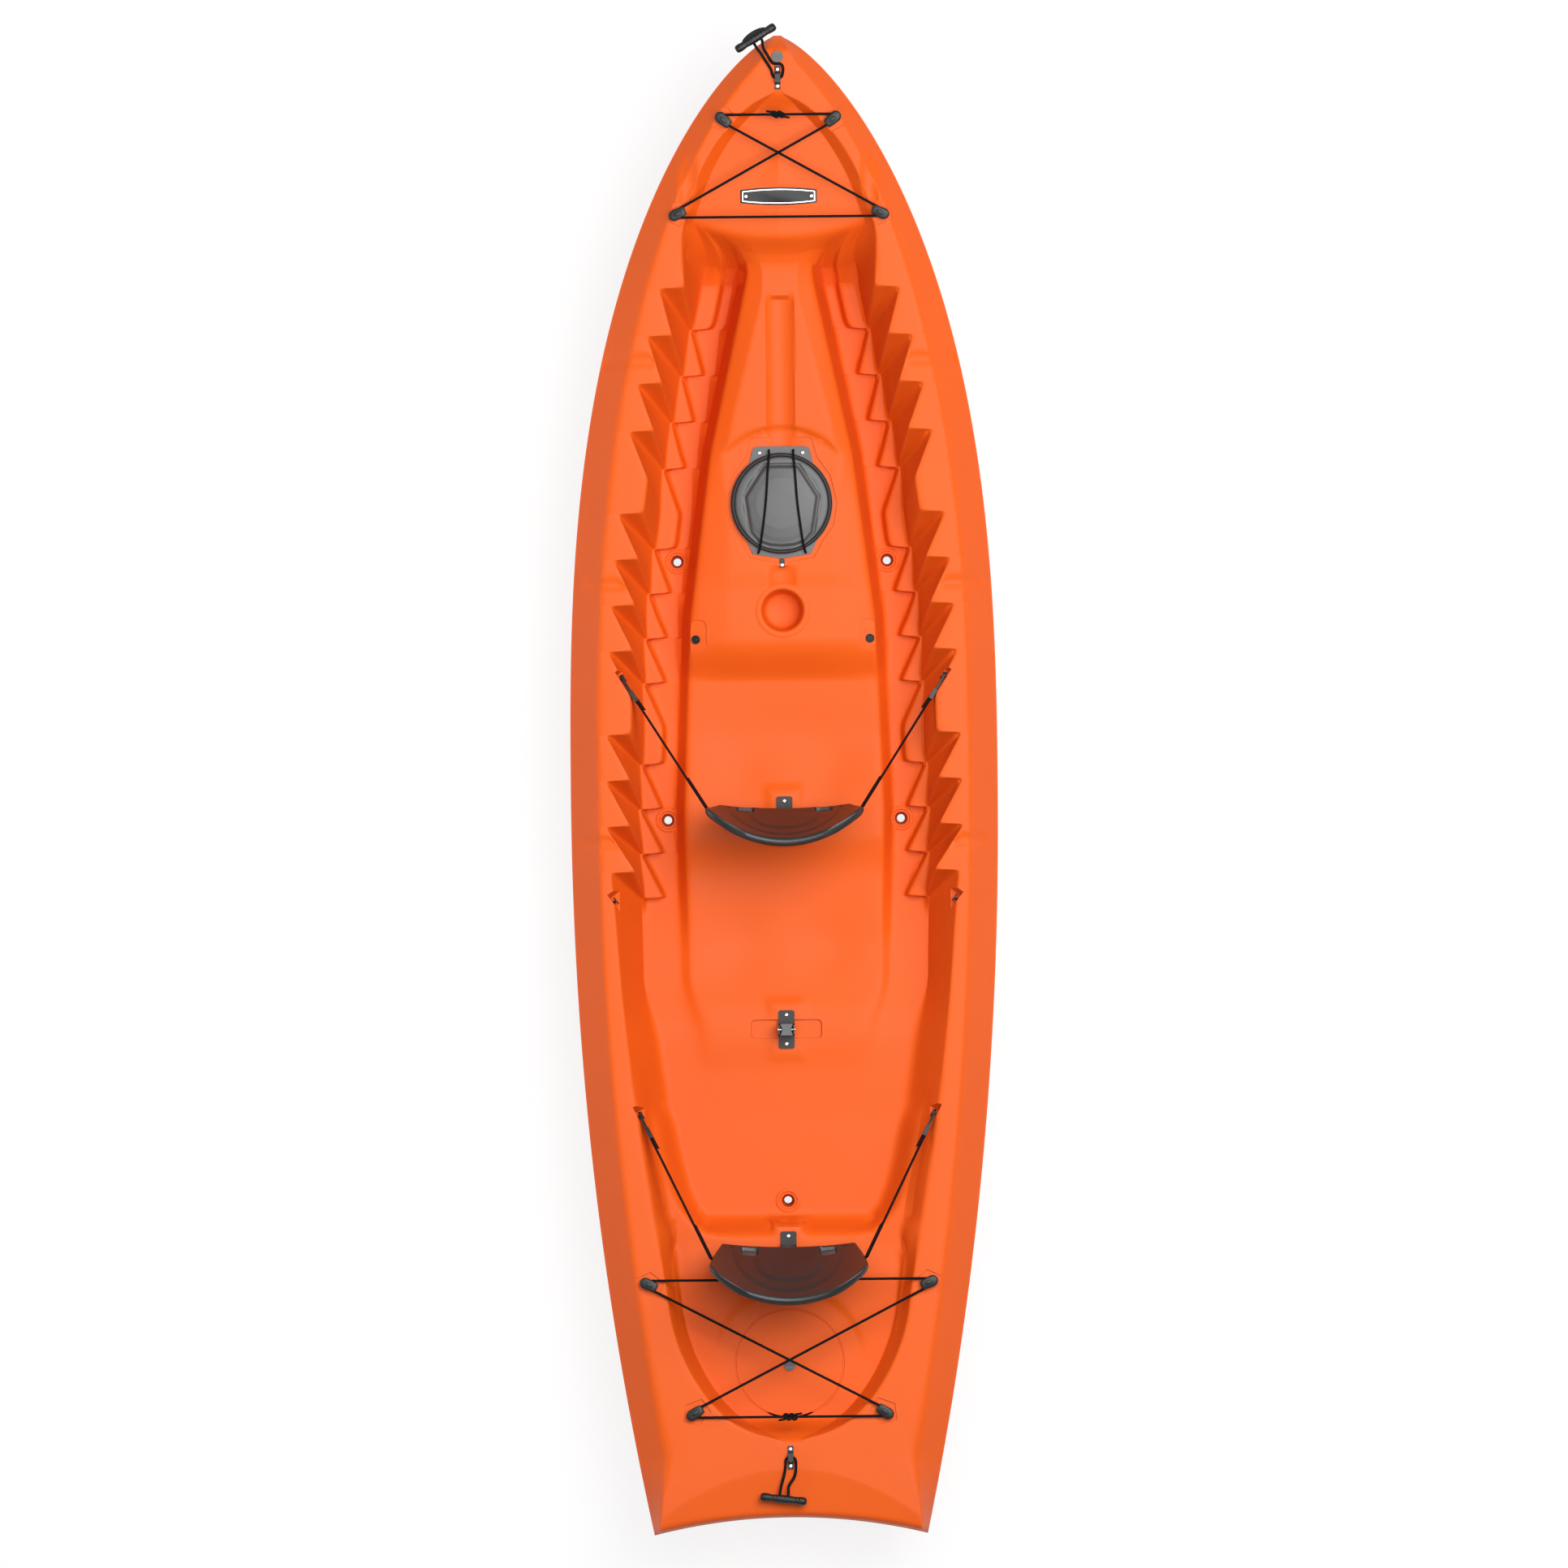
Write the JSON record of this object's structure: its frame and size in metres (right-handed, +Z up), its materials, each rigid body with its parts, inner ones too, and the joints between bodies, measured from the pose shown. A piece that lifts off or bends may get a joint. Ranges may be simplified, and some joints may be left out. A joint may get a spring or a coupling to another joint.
{
  "type": "tandem sit-on-top kayak",
  "caption": "Sit-on-top tandem kayak moulded in two halves, with stepped foot braces, folding backrests, round hatch, lashed bow and tank wells and toggle carry handles.",
  "frame": {"origin": "on the plane that the hull rests on, on the centre line, halfway between the bow tip and the stern corners", "axes": "+Y towards the bow, +X starboard, +Z up"},
  "size_m": [0.914, 3.2254, 0.5075],
  "materials": {
    "orange_polyethylene": "satin, slightly waxy rotomoulded skin",
    "grey_plastic": "fine grain",
    "charcoal_plastic": "fine grain",
    "black_plastic": "satin",
    "black_rubber": "matte",
    "black_cord": "braided",
    "black_webbing": "woven webbing",
    "rivet_aluminium": "bright"
  },
  "bodies": {
    "kayak": {"hull_shell": "orange_polyethylene", "deck_shell": "orange_polyethylene", "scupper_tubes": "orange_polyethylene", "hatch_frame": "grey_plastic", "hatch_gasket": "black_rubber", "hatch_rivets": "rivet_aluminium", "hatch_tether": "black_plastic", "bow_hook_port_front": "black_plastic", "bow_hook_starboard_front": "black_plastic", "bow_hook_port_rear": "black_plastic", "bow_hook_starboard_rear": "black_plastic", "stern_hook_port_front": "black_plastic", "stern_hook_starboard_front": "black_plastic", "stern_hook_port_rear": "black_plastic", "stern_hook_starboard_rear": "black_plastic", "hook_rivets": "rivet_aluminium", "bow_lashing": "black_cord", "bow_lashing_knot": "black_cord", "stern_lashing": "black_cord", "stern_lashing_knot": "black_cord", "bow_pad_eye": "black_plastic", "stern_pad_eye": "black_plastic", "pad_eye_rivets": "rivet_aluminium", "name_plate": "black_plastic", "name_plate_rivets": "rivet_aluminium", "deck_inserts": "black_plastic", "front_bracket": "black_plastic", "front_bracket_pin": "rivet_aluminium", "middle_bracket": "black_plastic", "middle_bracket_pin": "rivet_aluminium", "middle_bracket_cap": "grey_plastic", "rear_bracket": "black_plastic", "rear_bracket_pin": "rivet_aluminium", "bracket_rivets": "rivet_aluminium", "strap_studs": "black_plastic", "front_clip_port": "black_plastic", "front_clip_starboard": "black_plastic", "rear_clip_port": "black_plastic", "rear_clip_starboard": "black_plastic", "front_adjuster_port": "black_plastic", "front_adjuster_starboard": "black_plastic", "rear_adjuster_port": "black_plastic", "rear_adjuster_starboard": "black_plastic", "front_strap_port": "black_webbing", "front_strap_starboard": "black_webbing", "rear_strap_port": "black_webbing", "rear_strap_starboard": "black_webbing"},
    "front_backrest": {"front_backrest": "charcoal_plastic"},
    "rear_backrest": {"rear_backrest": "charcoal_plastic"},
    "hatch_lid": {"hatch_lid": "grey_plastic", "hatch_cords": "black_cord"},
    "bow_handle": {"bow_handle_cord": "black_cord", "bow_handle_grip": "black_plastic"},
    "stern_handle": {"stern_handle_cord": "black_cord", "stern_handle_grip": "black_plastic"},
    "bow_plug": {"bow_plug": "grey_plastic", "bow_plug_seal": "black_rubber"},
    "stern_plug": {"stern_plug": "grey_plastic", "stern_plug_seal": "black_rubber"}
  },
  "joints": [
    {"name": "front_backrest_fold", "type": "hinge", "parent": "kayak", "child": "front_backrest", "pos_m": [0, -0.064, 0.21], "axis": [-1, 0, 0], "range_deg": [0, 85], "deforming": ["front_strap_port", "front_strap_starboard"]},
    {"name": "rear_backrest_fold", "type": "hinge", "parent": "kayak", "child": "rear_backrest", "pos_m": [0, -0.994, 0.28], "axis": [-1, 0, 0], "range_deg": [0, 105], "deforming": ["rear_strap_port", "rear_strap_starboard"]},
    {"name": "hatch_lid_lift", "type": "slide", "parent": "kayak", "child": "hatch_lid", "axis": [0, 0, 1], "range_m": [0, 0.08]},
    {"name": "bow_handle_swing", "type": "hinge", "parent": "kayak", "child": "bow_handle", "pos_m": [0, 1.509, 0.3756], "axis": [1, 0, 0], "range_deg": [0, 100]},
    {"name": "stern_handle_swing", "type": "hinge", "parent": "kayak", "child": "stern_handle", "pos_m": [0, -1.434, 0.3281], "axis": [-1, 0, 0], "range_deg": [0, 100]},
    {"name": "bow_plug_draw", "type": "slide", "parent": "kayak", "child": "bow_plug", "axis": [0, -0.1026, 0.9947], "range_m": [0, 0.03]},
    {"name": "stern_plug_draw", "type": "slide", "parent": "kayak", "child": "stern_plug", "axis": [0, 0, 1], "range_m": [0, 0.03]}
  ]
}
